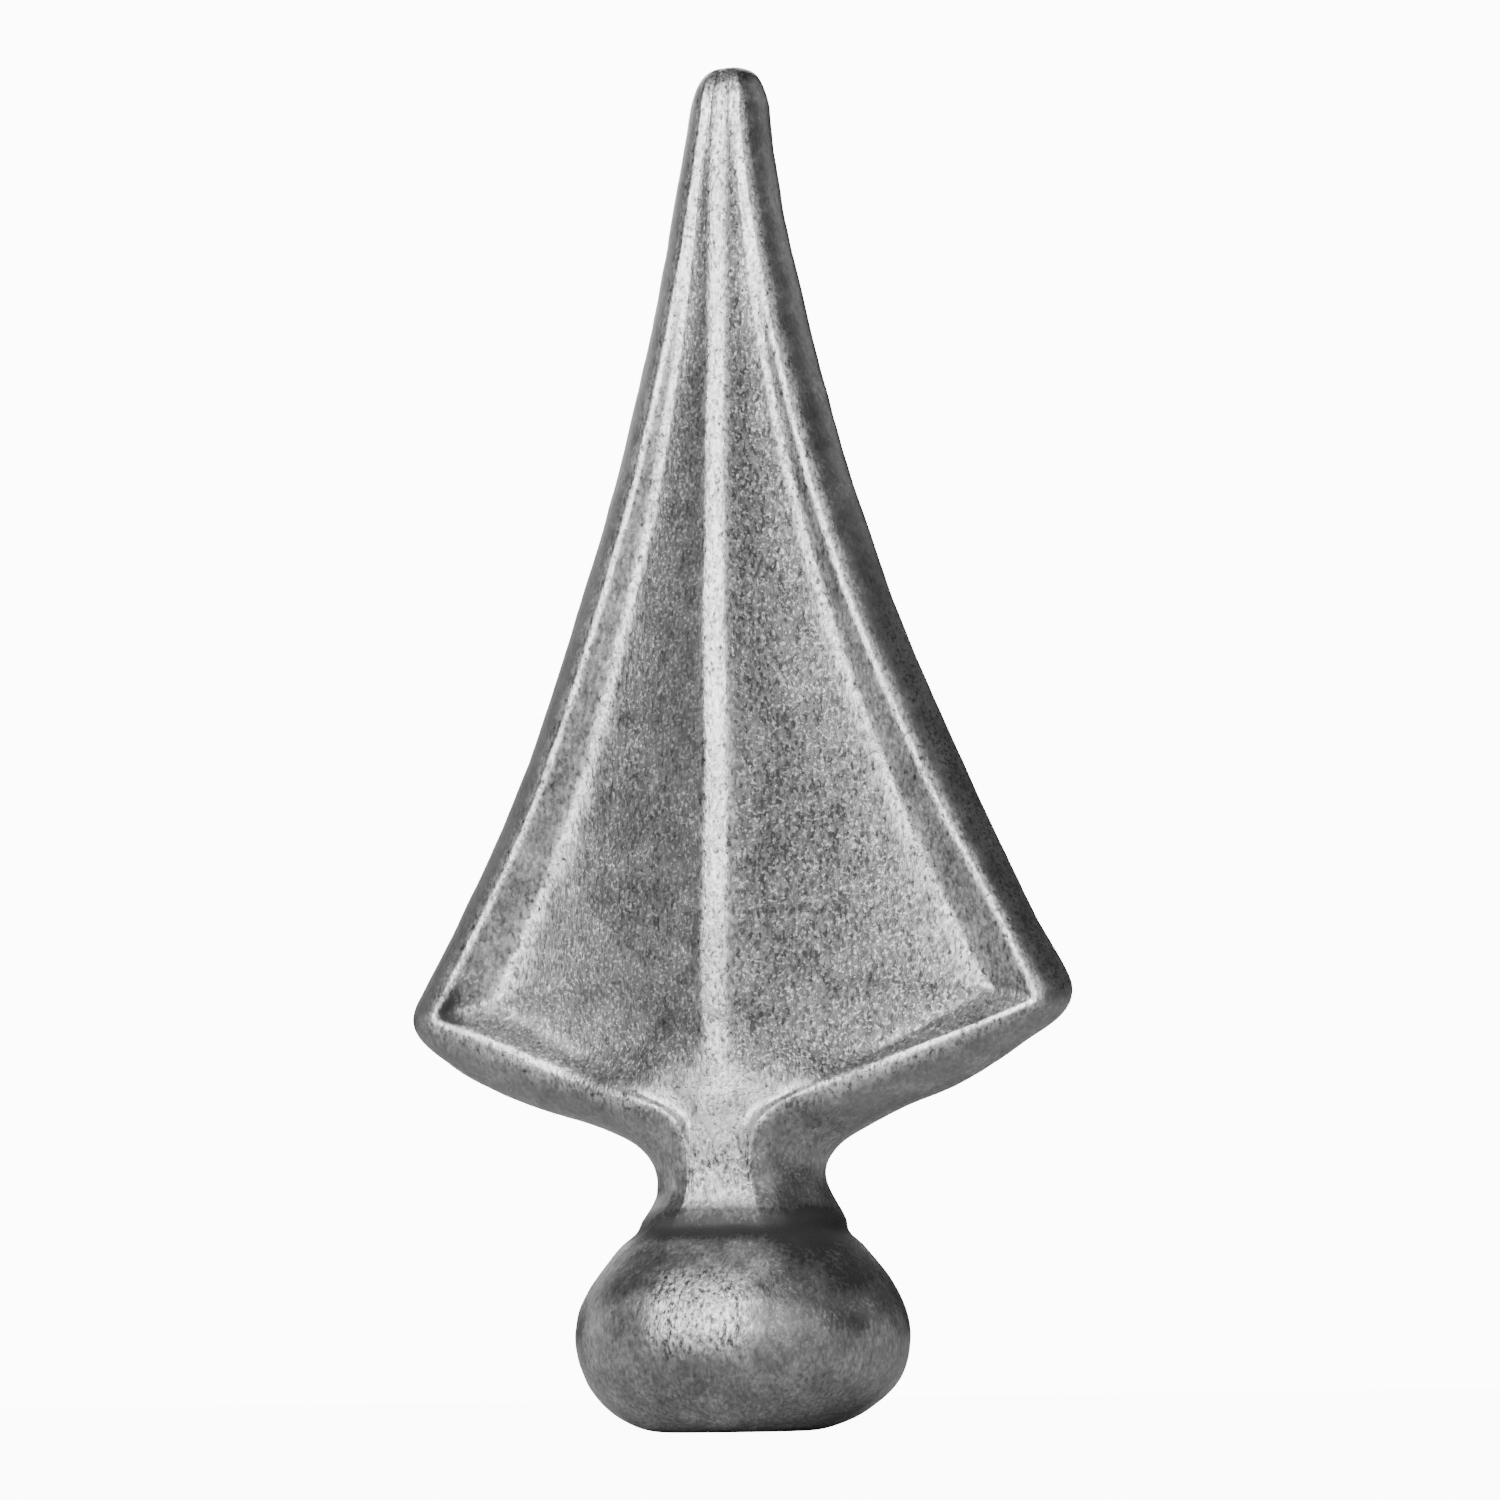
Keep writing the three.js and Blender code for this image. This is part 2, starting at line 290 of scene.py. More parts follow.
# %% Guide lines
def guide_line(foot_x, waist_z, corner, tip_x, bow, waist_rounding, corner_rounding):
    """A function of the station that gives a guide line's point as (half width, height).

    The line climbs the neck at half width foot_x, turns at the waist, runs straight to the
    corner and from there, bowed inwards, to the tip. Both bends are rounded.
    """
    foot = Vector((foot_x, NECK_FOOT_Z))
    waist = Vector((foot_x, waist_z))
    corner = Vector(corner)
    tip = Vector((tip_x, TIP_SHOULDER_Z))
    chord = tip - corner
    inward = Vector((-chord.y, chord.x)).normalized()
    pull = corner.lerp(tip, 0.5) + inward * 2 * bow
    neck_end = waist + (foot - waist).normalized() * waist_rounding
    bottom_start = waist + (corner - waist).normalized() * waist_rounding
    bottom_end = corner + (waist - corner).normalized() * corner_rounding
    side_start = corner_rounding / chord.length

    def point(station):
        if station <= 0:
            return foot.lerp(neck_end, station + 1)
        if station <= 1:
            return bend(neck_end, waist, bottom_start, station)
        if station <= 2:
            return bottom_start.lerp(bottom_end, station - 1)
        if station <= 3:
            side = bend(corner, pull, tip, side_start)
            return bend(bottom_end, corner, side, station - 2)
        return bend(corner, pull, tip, mix(side_start, 1, station - 3))

    return point


print("stations: -1 neck 0 waist 1 bottom 2 corner 3 side 4")

# %% The four lines
outline = guide_line(
    foot_x=NECK_HALF_WIDTH,
    waist_z=30.1,
    corner=(39.4, 42.8),
    tip_x=4.85,
    bow=4.9,
    waist_rounding=4.7,
    corner_rounding=7.0,
)
crest = guide_line(
    foot_x=3.5,
    waist_z=33.5,
    corner=(34.2, 45.0),
    tip_x=2.3,
    bow=5.2,
    waist_rounding=5.5,
    corner_rounding=1.0,
)
inner_edge = guide_line(
    foot_x=2.4,
    waist_z=36.4,
    corner=(27.2, 47.0),
    tip_x=1.75,
    bow=4.9,
    waist_rounding=2.35,
    corner_rounding=0.9,
)
rib_side = guide_line(
    foot_x=1.65,
    waist_z=37.2,
    corner=(1.65, 51.5),
    tip_x=1.05,
    bow=0,
    waist_rounding=2.35,
    corner_rounding=1.1,
)
four_lines = (outline, crest, inner_edge, rib_side)
print("half widths at the corner:", [round(line(2.5).x, 1) for line in four_lines], "mm")

# %% The rib's foot and the groove
RIB_FOOT_FLARE = 0.9
RIB_FOOT_Z = (33, 40)
NECK_GROOVE_SHARE = 0.5
GROOVE_START = 0.1


def rib_edge(station):
    """The rib's edge, which spreads at its foot into the neck's flat face."""
    point = rib_side(station)
    flare = RIB_FOOT_FLARE * fade((point.y - RIB_FOOT_Z[0]) / (RIB_FOOT_Z[1] - RIB_FOOT_Z[0]))
    return point + Vector((flare, 0))


def groove_share(station):
    """How far from the crest towards the rib the groove lies on the neck and the waist."""
    return mix(NECK_GROOVE_SHARE, GROOVE_START, smooth(station))


def groove(station):
    """The groove springs from the crest at the waist and leaves it towards the corner."""
    if station <= 1:
        return crest(station).lerp(rib_edge(station), groove_share(station))
    if station <= 2:
        return crest(1).lerp(rib_edge(1), GROOVE_START).lerp(inner_edge(2), station - 1)
    return inner_edge(station)


print("the groove turns at", [round(v, 1) for v in groove(2.5)], "mm")

# %% [markdown]
# ## One section of the blade
#
# At each station one line is drawn from the parting line over the rim and across the field to
# the rib. It is a quarter of the whole ring, and mirroring gives the rest. The rim's crest isn't
# a knife edge but a land 0.85 mm wide, and the groove has a floor of 0.6 mm. Towards the tip the
# hollows fill until rim, field and rib are flush. A modeller would put extra points close to
# each line that has to stay crisp, because the Subdivision Surface modifier rounds whatever has
# room: here they stand a third of a millimetre from the crest's land and from the rib's edge.

# %% Depths along the blade
STATIONS = [-1, 0, 1, 1.45, 2, 3, 3.45, 3.7, 4]
CREST_HALF_DEPTH = [8.55, 8.55, 8.8, 5.4, 4.2, 4.1, 4.5, 4.5, 3.8]
GROOVE_HALF_DEPTH = [8.6, 8.6, 8.5, 4.2, 2.5, 2.4, 3.6, 4.1, 3.75]
WALL_BULGE = [0.7, 0.7, 0.9, 0.95, 0.85, 0.5, 0.4, 0.4, 0.45]


def along(values, station):
    """A value that passes smoothly through one number at each station."""
    i = 0
    while i < len(STATIONS) - 2 and station > STATIONS[i + 1]:
        i += 1
    t = (station - STATIONS[i]) / (STATIONS[i + 1] - STATIONS[i])
    return mix(values[i], values[i + 1], smooth(t))


print("the rim is", round(2 * along(CREST_HALF_DEPTH, 2.5), 1), "mm thick at the corner")

# %% Profiles of the bulb and the rib
CREASE_Z = 21.5
CREASE_DEPTH = 0.6
CREASE_HALF_HEIGHT = 1.6
RIB_PEAK_Z = 57
RIB_PEAK_HALF_DEPTH = 9.9
RIB_TIP_HALF_DEPTH = 4.1
RIB_EARLY_FALL = 0.9


def stem_half_width(z):
    """Half the width of the bulb and the neck at a height."""
    if z <= BULB_WIDEST_Z:
        t = 1 - z / BULB_WIDEST_Z
        reach = max(0, 1 - t**HEEL_ROUNDNESS) ** (1 / HEEL_ROUNDNESS)
        return mix(UNDERSIDE_RADIUS, BULB_RADIUS, reach)
    t = (z - BULB_WIDEST_Z) / (NECK_TOP_Z - BULB_WIDEST_Z)
    crease = CREASE_DEPTH * fade(abs(z - CREASE_Z) / CREASE_HALF_HEIGHT)
    return mix(NECK_HALF_WIDTH, BULB_RADIUS, fade(min(t, 1) ** SHOULDER_FULLNESS)) - crease


def rib_half_depth(z):
    """How far the rib stands from the middle plane at a height: most a third of the way up."""
    if z < RIB_PEAK_Z:
        t = (RIB_PEAK_Z - z) / (RIB_PEAK_Z - NECK_FOOT_Z)
        return mix(RIB_PEAK_HALF_DEPTH, NECK_HALF_DEPTH, t * t)
    t = (z - RIB_PEAK_Z) / (HEIGHT - RIB_PEAK_Z)
    return mix(RIB_TIP_HALF_DEPTH, RIB_PEAK_HALF_DEPTH, fade(t**RIB_EARLY_FALL))


print("the crease is", round(2 * stem_half_width(CREASE_Z), 1), "mm wide")

# %% Outer wall of one section
CREST_LAND = 0.85
LAND_FALL = 0.03
GROOVE_FLOOR = 0.6
EDGE_SUPPORT = 0.33
NECK_SOFTNESS = 3
NECK_SOFT_UP_TO = 0.9
WALL_SHARES = (0, 0.25, 0.5, 0.75)
FIELD_SHARES = (0.14, 0.42, 0.72)
MOST_WALL_SUPPORT = 0.2
MOST_SUPPORT = 0.15
MOST_LAND = 0.3
MOST_FLOOR = 0.2
MOST_FIELD_START = 0.08


def share(size_mm, length, most):
    """A size as a share of a length, but no more than most where the section is narrow."""
    return min(size_mm / length, most)


def wall_points(out, top, top_depth, station):
    """The outer wall, from the parting line up to the rim's crest."""
    bulge = along(WALL_BULGE, station)
    softness = 1 + NECK_SOFTNESS * (1 - smooth(station / NECK_SOFT_UP_TO))
    support = share(softness * EDGE_SUPPORT, (out - top).length, MOST_WALL_SUPPORT)
    points = []
    for t in (*WALL_SHARES, 1 - support, 1):
        turn = t * math.pi / 2
        place = out.lerp(top, mix(t, 1 - math.cos(turn), bulge))
        points.append((place.x, top_depth * mix(t, math.sin(turn), bulge), place.y))
    return points


print("crest land", CREST_LAND, "mm, groove floor", GROOVE_FLOOR, "mm")


# %% Rim and field of one section
def rim_points(top, low, top_depth, low_depth):
    """The crest's land and the inner wall, down to the groove."""
    width = (top - low).length
    land = share(CREST_LAND, width, MOST_LAND)
    support = share(EDGE_SUPPORT, width, MOST_SUPPORT)
    foot = 1 - share(GROOVE_FLOOR, width, MOST_FLOOR)
    points = []
    for t in (land, land + support, mix(land, foot, 0.5), foot, 1):
        place = top.lerp(low, t)
        fall = mix(LAND_FALL, 1, min((t - land) / (foot - land), 1))
        points.append((place.x, mix(top_depth, low_depth, fall), place.y))
    return points


def field_points(low, rib, low_depth, rib_depth, straight):
    """The field, from the groove's floor to the rib's edge: straight is 0 for a full hollow."""
    span = (low - rib).length
    start = share(GROOVE_FLOOR, span, MOST_FIELD_START)
    support = share(EDGE_SUPPORT, span, MOST_SUPPORT)
    points = []
    for t in (start, *FIELD_SHARES, 1 - support, 1):
        place = low.lerp(rib, t)
        climb = (t - start) / (1 - start)
        rise = mix(climb * climb, climb, straight)
        points.append((place.x, mix(low_depth, rib_depth, rise), place.y))
    return points


print("points: rim 5, rib 2, wall", len(WALL_SHARES) + 2, "and field", len(FIELD_SHARES) + 3)

# %% Section of the blade
HOLLOW_FROM = 0.95
HOLLOW_OVER = 0.6
FLUSH_RIM_Z = (112, 134)
FLUSH_TIP_Z = (136, 142.5)
FACE_ROUNDING = 0.03
FIELD_STRAIGHT_SHARE = 0.4
RIB_CROWN = 0.2
CROWN_RISES_OVER = 10
RIB_SHOULDER_AT = 0.7
RIB_SHOULDER_CROWN = 0.6


def blade_quarter(station):
    """The quarter ring at a station, as points (half width, half depth, height)."""
    out, top, low, rib = (line(station) for line in (outline, crest, groove, rib_edge))
    hollow = smooth((station - HOLLOW_FROM) / HOLLOW_OVER)
    flat_face = rib_half_depth(top.y) - FACE_ROUNDING
    top_depth = mix(flat_face, along(CREST_HALF_DEPTH, station), smooth(station))
    rib_depth = rib_half_depth(rib.y)
    flush = mix(top_depth, rib_depth, groove_share(station))
    low_depth = mix(flush, along(GROOVE_HALF_DEPTH, station), hollow)
    rib_depth = mix(rib_depth, top_depth + FACE_ROUNDING / 2, band(out.y, FLUSH_TIP_Z))
    low_depth = mix(low_depth, top_depth, band(out.y, FLUSH_RIM_Z))
    points = wall_points(out, top, top_depth, station)
    points += rim_points(top, low, top_depth, low_depth)
    points += field_points(low, rib, low_depth, rib_depth, mix(1, FIELD_STRAIGHT_SHARE, hollow))
    crown = RIB_CROWN * smooth((rib.y - NECK_FOOT_Z) / CROWN_RISES_OVER)
    points.append((rib.x * RIB_SHOULDER_AT, rib_depth + crown * RIB_SHOULDER_CROWN, rib.y))
    points.append((0, rib_depth + crown, rib.y))
    flares = [stem_half_width(z) / NECK_HALF_WIDTH for _, _, z in points]
    return [(x * flare, y * flare, z) for (x, y, z), flare in zip(points, flares)]


COLUMNS = len(blade_quarter(0)) - 1
print("points from the parting line to the rib:", COLUMNS + 1)

# %% [markdown]
# ## Sections of the bulb, the neck and the tip
#
# Below the blade a section is a square with very round corners, nearly a circle on the bulb and
# squarer on the neck, with a shallow crease pressed in where the two meet. The tip's sections
# are the blade's last one, drawn in as they rise.

# %% Sections of the stem and the tip
def stem_quarter(z, neck_points):
    """The quarter ring of the bulb or neck at a height."""
    rise = smooth((z - BULB_WIDEST_Z) / (NECK_FOOT_Z - BULB_WIDEST_Z))
    power = mix(BULB_SQUARENESS, NECK_SQUARENESS, rise)
    flatten = mix(1, NECK_HALF_DEPTH / NECK_HALF_WIDTH, rise)
    size = stem_half_width(z) / stem_half_width(NECK_FOOT_Z)
    blend = smooth((z - CREASE_Z) / (NECK_FOOT_Z - CREASE_Z))
    points = []
    for i, (x, y, _) in enumerate(neck_points):
        angle = mix(i / COLUMNS * math.pi / 2, math.atan2(y, x), rise)
        c = abs(math.cos(angle))
        s = abs(math.sin(angle))
        radius = stem_half_width(z) / (c**power + s**power) ** (1 / power)
        round_x, round_y = radius * c, radius * s * flatten
        points.append((mix(round_x, x * size, blend), mix(round_y, y * size, blend), z))
    return points


def tip_quarter(last, t):
    """The blade's last quarter ring drawn in towards the axis, t running from 0 to 1."""
    turn = t * math.pi / 2
    size = mix(1, TIP_FLAT, 1 - math.cos(turn))
    rise = (HEIGHT - TIP_SHOULDER_Z) * math.sin(turn)
    return [(x * size, y * size, z + rise) for x, y, z in last]


print("underside", 2 * UNDERSIDE_RADIUS, "mm across, tip closes to", TIP_FLAT, "of its width")

# %% [markdown]
# ## Left and right are not quite the same
#
# No two forgings off one die are alike: steel fills it a little unevenly, and the piece may bend
# slightly as it cools. On this one the right corner's lower edge sits up to 2 mm higher, the
# right shoulder above the crease stands 1 mm out, the bulb's right heel is drawn in by 1.6 mm,
# and the right crest and groove run further out. The left corner stands out and up by less than
# 1 mm, and the edge and the crest between it and the neck sag. The blade bows half a millimetre
# to the right, and its tip leans that way. Each shift has a centre and fades out over its reach,
# as proportional editing does by hand. In code the same few numbers serve front and back, while
# the quarter is mirrored into the ring.

# %% Shifts of this one forging
TIP_LEAN = 0.4
LEAN_FROM_Z = 134
BOW = 0.5
BOW_CENTRE_Z = 69
BOW_REACH = 22
SHOULDER_CENTRE_Z = 24.3
SHOULDER_REACH = 4.5
RIGHT_SHOULDER_OUT = 1.0
HEEL_REACH = 5
RIGHT_HEEL_IN = 1.6
EDGE_CENTRE = (36, 41)
EDGE_REACH = 13
RIGHT_EDGE_LIFT = 2.0
LEFT_CORNER_CENTRE = (39, 44)
LEFT_CORNER_REACH = 8.5
LEFT_CORNER_OUT = 0.6
LEFT_CORNER_FOOT = (38, 41.5)
LEFT_CORNER_LIFT = 0.9
RIGHT_WAIST = (18, 34)
RIGHT_WAIST_REACH = 7
RIGHT_WAIST_LIFT = 0.45
LEFT_EDGE_CENTRE = (26, 38)
LEFT_EDGE_REACH = 13
LEFT_EDGE_SAG = 0.9
SIDE_CENTRE = (29, 54)
SIDE_REACH = 15
RIGHT_CREST_OUT = 0.9
INSIDE_CENTRE = (27, 48)
INSIDE_REACH = 22
RIGHT_GROOVE_OUT = 1.0
RIGHT_GROOVE_DROP = 0.3
BOTTOM_CENTRE = (16, 39)
BOTTOM_REACH = 13
LEFT_CREST_SAG = 0.7
CREST_COLUMN = 5
GROOVE_COLUMN = 10

print("right corner's lower edge lifted by", RIGHT_EDGE_LIFT, "mm, tip leans by", TIP_LEAN, "mm")


# %% Moving the points
def nearness(x, z, centre, reach):
    """1 at the centre, fading to 0 at the reach."""
    return fade(math.hypot(x - centre[0], z - centre[1]) / reach)


def uneven(point, side, column):
    """A point of the ideal forging moved to where this one has it; side is 1 on the right."""
    x, y, z = point
    inside = smooth(column / CREST_COLUMN)
    deep = smooth((column - CREST_COLUMN) / (GROOVE_COLUMN - CREST_COLUMN))
    outside = 1 - inside
    rim = inside * (1 - deep) * nearness(abs(x), z, SIDE_CENTRE, SIDE_REACH)
    field = deep * nearness(abs(x), z, INSIDE_CENTRE, INSIDE_REACH)
    bottom = inside * (1 - deep) * nearness(abs(x), z, BOTTOM_CENTRE, BOTTOM_REACH)
    if side > 0:
        around = smooth(x / NECK_HALF_WIDTH)
        x += RIGHT_CREST_OUT * rim + RIGHT_GROOVE_OUT * field
        x += RIGHT_SHOULDER_OUT * around * fade(abs(z - SHOULDER_CENTRE_Z) / SHOULDER_REACH)
        x -= RIGHT_HEEL_IN * around * fade(z / HEEL_REACH)
        z += RIGHT_EDGE_LIFT * outside * nearness(x, z, EDGE_CENTRE, EDGE_REACH)
        z += RIGHT_WAIST_LIFT * outside * nearness(x, z, RIGHT_WAIST, RIGHT_WAIST_REACH)
        z -= RIGHT_GROOVE_DROP * field
    else:
        x -= LEFT_CORNER_OUT * outside * nearness(-x, z, LEFT_CORNER_CENTRE, LEFT_CORNER_REACH)
        z += LEFT_CORNER_LIFT * outside * nearness(-x, z, LEFT_CORNER_FOOT, LEFT_CORNER_REACH)
        z -= LEFT_EDGE_SAG * outside * nearness(-x, z, LEFT_EDGE_CENTRE, LEFT_EDGE_REACH)
        z -= LEFT_CREST_SAG * bottom
    lean = TIP_LEAN * smooth((z - LEAN_FROM_Z) / (HEIGHT - LEAN_FROM_Z))
    return x + lean + BOW * fade(abs(z - BOW_CENTRE_Z) / BOW_REACH), y, z


def whole_ring(quarter):
    """The whole ring in metres, mirrored from a quarter, starting at the right parting line."""
    right = [(x, -y, z) for x, y, z in quarter]
    left = [(-x, y, z) for x, y, z in right[:-1]]
    right = [uneven(point, 1, column) for column, point in enumerate(right)]
    left = [uneven(point, -1, column) for column, point in enumerate(left)]
    front = right + left[::-1]
    back = [(x, -y, z) for x, y, z in reversed(front[1:-1])]
    return [Vector(point) * MM for point in front + back]


right_heel = uneven((UNDERSIDE_RADIUS, 0, 0), 1, 0)
print("the underside's right edge moves to x =", round(right_heel[0], 1), "mm")

# %% [markdown]
# ## Drawing the forging out, ring by ring
#
# The finial starts as the circle of its flat underside. Each next ring is one extrude of the
# last, put where the section says: the same E and G that a modeller would press, as many times
# as there are sections. It was chosen over carving a block with booleans because every crest
# and groove then has its own edge loop, and nothing has to be cleaned up afterwards. The two
# ends are closed by insetting their faces.

# %% Rings
HEEL_RINGS = 6
SHOULDER_Z = [11, 12.3, 13.6, 14.9, 16.2, 17.5, 18.7, 19.7]
SHOULDER_Z += [20.4, 21, 21.5, 22, 22.7, 23.5, 24.3, 25.2]  # closer together over the crease
STRETCH_RINGS = (4, 6, 7, 7, 22)
TIP_RINGS = 5

neck_points = blade_quarter(-1)
quarters = [
    stem_quarter(BULB_WIDEST_Z * (1 - math.cos(i / HEEL_RINGS * math.pi / 2)), neck_points)
    for i in range(HEEL_RINGS + 1)
]
quarters += [stem_quarter(z, neck_points) for z in SHOULDER_Z]
stem_rings = len(quarters)
ring_stations = [-1] * stem_rings
for stretch, count in enumerate(STRETCH_RINGS):
    ring_stations += [stretch - 1 + i / count for i in range(1, count + 1)]
quarters += [blade_quarter(station) for station in ring_stations[stem_rings:]]
last_quarter = quarters[-1]
quarters += [tip_quarter(last_quarter, i / TIP_RINGS) for i in range(1, TIP_RINGS + 1)]
ring_stations += [4] * TIP_RINGS
rings = [whole_ring(quarter) for quarter in quarters]
print("rings:", len(rings), "points in each:", len(rings[0]))

# %% Extrude the rings
ROUND = len(rings[0])

bpy.ops.object.select_all(action="DESELECT")
bpy.ops.mesh.primitive_circle_add(vertices=ROUND, radius=UNDERSIDE_RADIUS * MM, location=(0, 0, 0))
finial = bpy.context.active_object
finial.name = "spear_finial_forged"
for layer in ("place", "ring"):
    finial.data.attributes.new(layer, "INT", "POINT")
finial.data.attributes["place"].data.foreach_set("value", range(ROUND))
bpy.ops.object.mode_set(mode="EDIT")


def shape_ring(number):
    """Puts the selected loop's points on ring number: each remembers its place from the circle."""
    mesh = bmesh.from_edit_mesh(finial.data)
    place = mesh.verts.layers.int["place"]
    ring = mesh.verts.layers.int["ring"]
    for point in (v for v in mesh.verts if v.select):
        point.co = rings[number][point[place]]
        point[ring] = number
    bmesh.update_edit_mesh(finial.data)


shape_ring(0)
for number in range(1, len(rings)):
    bpy.ops.mesh.extrude_edges_move()
    shape_ring(number)
print("extruded", len(rings) - 1, "times")

# %% Close the underside and the tip
UNDERSIDE_CAP = (0, 2, 2.2)  # ring, number of insets, millimetres of each
TIP_CAP = (len(rings) - 1, 1, 0.55)


def select_ring(number):
    """Selects the loop of points of one ring, and nothing else."""
    bpy.ops.mesh.select_all(action="DESELECT")
    mesh = bmesh.from_edit_mesh(finial.data)
    ring = mesh.verts.layers.int["ring"]
    for point in mesh.verts:
        point.select = point[ring] == number
    mesh.select_flush_mode()
    mesh.select_flush(True)
    bmesh.update_edit_mesh(finial.data)


for number, insets, inset_mm in (UNDERSIDE_CAP, TIP_CAP):
    select_ring(number)
    bpy.ops.mesh.edge_face_add()
    for _ in range(insets):
        bpy.ops.mesh.inset(thickness=inset_mm * MM)
    bpy.ops.mesh.poke()
bpy.ops.mesh.select_all(action="SELECT")
bpy.ops.mesh.normals_make_consistent(inside=False)
bpy.ops.object.mode_set(mode="OBJECT")
print("closed cage:", len(finial.data.vertices), "points,", len(finial.data.polygons), "faces")

# %% [markdown]
# ## Where the metal is worn, where light and shade are painted, and where it is grainy
#
# Handling rubs what stands proud: the crests, the rib and the neck's flat face, and these are
# also painted paler as highlights. The groove, the rim's upper part and the tip, the gusset at the
# rib's foot and a spot on the front of the bulb get a painted highlight; the spot is a painted
# reflection of the key light. Painted shade darkens the crease and the neck's foot above it,
# the outer walls, the lower right one most, the field beside the rib, the rim's left corner, and
# the bulb's right shoulder with the neck beside it. The grain is strongest on the neck's face
# and the bulb's painted spot, strong in the hollow fields and weakest on the outer walls. Two
# masks say so: wear, which is 1 on rubbed metal and painted highlights and below 0 under painted
# shade, and grain. They could be painted by hand. Here each is a number on every point of the
# cage, column by column across the section, so that a mask keeps to its crest exactly. The
# Subdivision Surface modifier blends them, and the shader reads them as attributes.

# %% Masks across the section
# Wear across the section, with painted light in it: the crests and the rib are rubbed and painted
# as highlights, the groove's values are a painted highlight only, the inner wall's are painted
# light and shade, and the outer wall's below 0 and the field's beside the rib are painted shade.
WEAR_AND_PAINTED_LIGHT = [
    *(-0.1, -0.35, -0.4, -0.2, 0.7),  # outer wall
    *(1, 1),  # the crest and its land
    *(0.4, 0.15, 0.6),  # inner wall
    *(1, 0.9),  # groove
    *(0.1, 0, -0.3, -0.1),  # field
    *(0.8, 0.9, 0.9),  # rib
]
# Along the bottom edge the inner wall and the field are darkened as painted shade.
BOTTOM_WEAR_AND_PAINTED_LIGHT = [
    *(0.2, 0.15, 0.1, 0.15, 0.8),
    *(1, 1),
    *(0, -0.2, -0.15),
    *(-0.1, 0),
    *(0, 0, -0.1, 0),
    *(0.8, 0.9, 0.9),
]
GRAIN = [
    *(0.3, 0.3, 0.3, 0.4, 0.9),
    *(0.9, 0.9),
    *(0.8, 0.8, 0.9),
    *(1, 1),
    *(1, 1, 1, 1),
    *(0.9, 0.9, 0.9),
]

print("masks for", len(WEAR_AND_PAINTED_LIGHT), "points across, on the bottom rim", len(BOTTOM_WEAR_AND_PAINTED_LIGHT))

# %% Masks of the blade
RIB_COLUMN = 16
BOTTOM_ENDS_AT = (2.3, 2.7)
PAINTED_HIGHLIGHT_RIM_Z = (96, 118)
DULL_TIP_Z = (146, 149)
RIGHT_WALL_PAINTED_SHADE = 0.3
RIGHT_WALL_FROM = (2, 3)
UPPER_WALL_WEAR = 0.1
UPPER_WALL_Z = (80, 112)
RIGHT_FIELD_GRAIN = 1.2
OTHER_FIELD_GRAIN = 0.88
GUSSET_WEAR_AND_HIGHLIGHT = 1
GUSSET_GRAIN = 0.35
GUSSET_Z = (35, 38.5)
CORNER_PAINTED_SHADE_CENTRE = (32.4, 46.2)
CORNER_PAINTED_SHADE_REACH = 2.6
CORNER_PAINTED_SHADE = 2.2


def blade_masks(width, height, column, station, on_front, on_right):
    """Wear with painted light and shade, and grain, at a point of the blade."""
    wear_and_painted_light = mix(BOTTOM_WEAR_AND_PAINTED_LIGHT[column], WEAR_AND_PAINTED_LIGHT[column], band(station, BOTTOM_ENDS_AT))
    grain = GRAIN[column]
    if column < CREST_COLUMN - 1:
        # Painted shade on the lower right outer wall; higher up the outer walls lose their painted
        # shade.
        if on_right:
            wear_and_painted_light -= RIGHT_WALL_PAINTED_SHADE * band(station, RIGHT_WALL_FROM)
        return mix(wear_and_painted_light, UPPER_WALL_WEAR, band(height, UPPER_WALL_Z)), grain
    # A painted highlight over the whole rim higher up and towards the flush tip.
    rim = band(height, PAINTED_HIGHLIGHT_RIM_Z) if column <= GROOVE_COLUMN else 0
    wear_and_painted_light = mix(wear_and_painted_light, 1, max(rim, band(height, FLUSH_TIP_Z)))
    wear_and_painted_light = mix(wear_and_painted_light, 0, band(height, DULL_TIP_Z))
    if GROOVE_COLUMN < column < RIB_COLUMN:
        grain *= RIGHT_FIELD_GRAIN if on_front and on_right else OTHER_FIELD_GRAIN
    if column >= GROOVE_COLUMN:
        # The gusset at the rib's foot: wear and a painted highlight.
        above_gusset = band(height, GUSSET_Z)
        wear_and_painted_light = mix(GUSSET_WEAR_AND_HIGHLIGHT, wear_and_painted_light, above_gusset)
        grain = mix(GUSSET_GRAIN, grain, above_gusset)
    elif column > CREST_COLUMN and not on_right:
        # Painted shade in the rim's left inner corner.
        near = nearness(width, height, CORNER_PAINTED_SHADE_CENTRE, CORNER_PAINTED_SHADE_REACH)
        wear_and_painted_light -= CORNER_PAINTED_SHADE * near
    return wear_and_painted_light, grain


print("crest at mid height, wear and grain:", blade_masks(20, 75, CREST_COLUMN, 3.4, True, True))

# %% Masks on the bulb and the neck
BULB_WEAR = 0.2
BULB_GRAIN = 0.5
PATCH_PAINTED_HIGHLIGHT = 0.5
PATCH_GRAIN = 1.2
PATCH_CENTRE_Z = 12.5
PATCH_HALF_HEIGHT = 4.1
PATCH_HALF_WIDTH = 4.9
PATCH_BORDER = (-1.1, 1.1)
CREASE_PAINTED_SHADE = -1.3
CREASE_SHADE_Z = 21.3
CREASE_REACH = 1.9
CREASE_GRAIN = 0.5
ABOVE_CREASE_PAINTED_SHADE = -0.8
ABOVE_CREASE_Z = 23
ABOVE_CREASE_REACH = 1.7
FACE_WEAR_AND_HIGHLIGHT = 0.5
FACE_GRAIN = 1.4
FACE_FOOT_Z = (23.4, 26.8)
FACE_TOP_Z = (28.5, 32.5)
FACE_EDGE_COLUMNS = (4.4, 6)
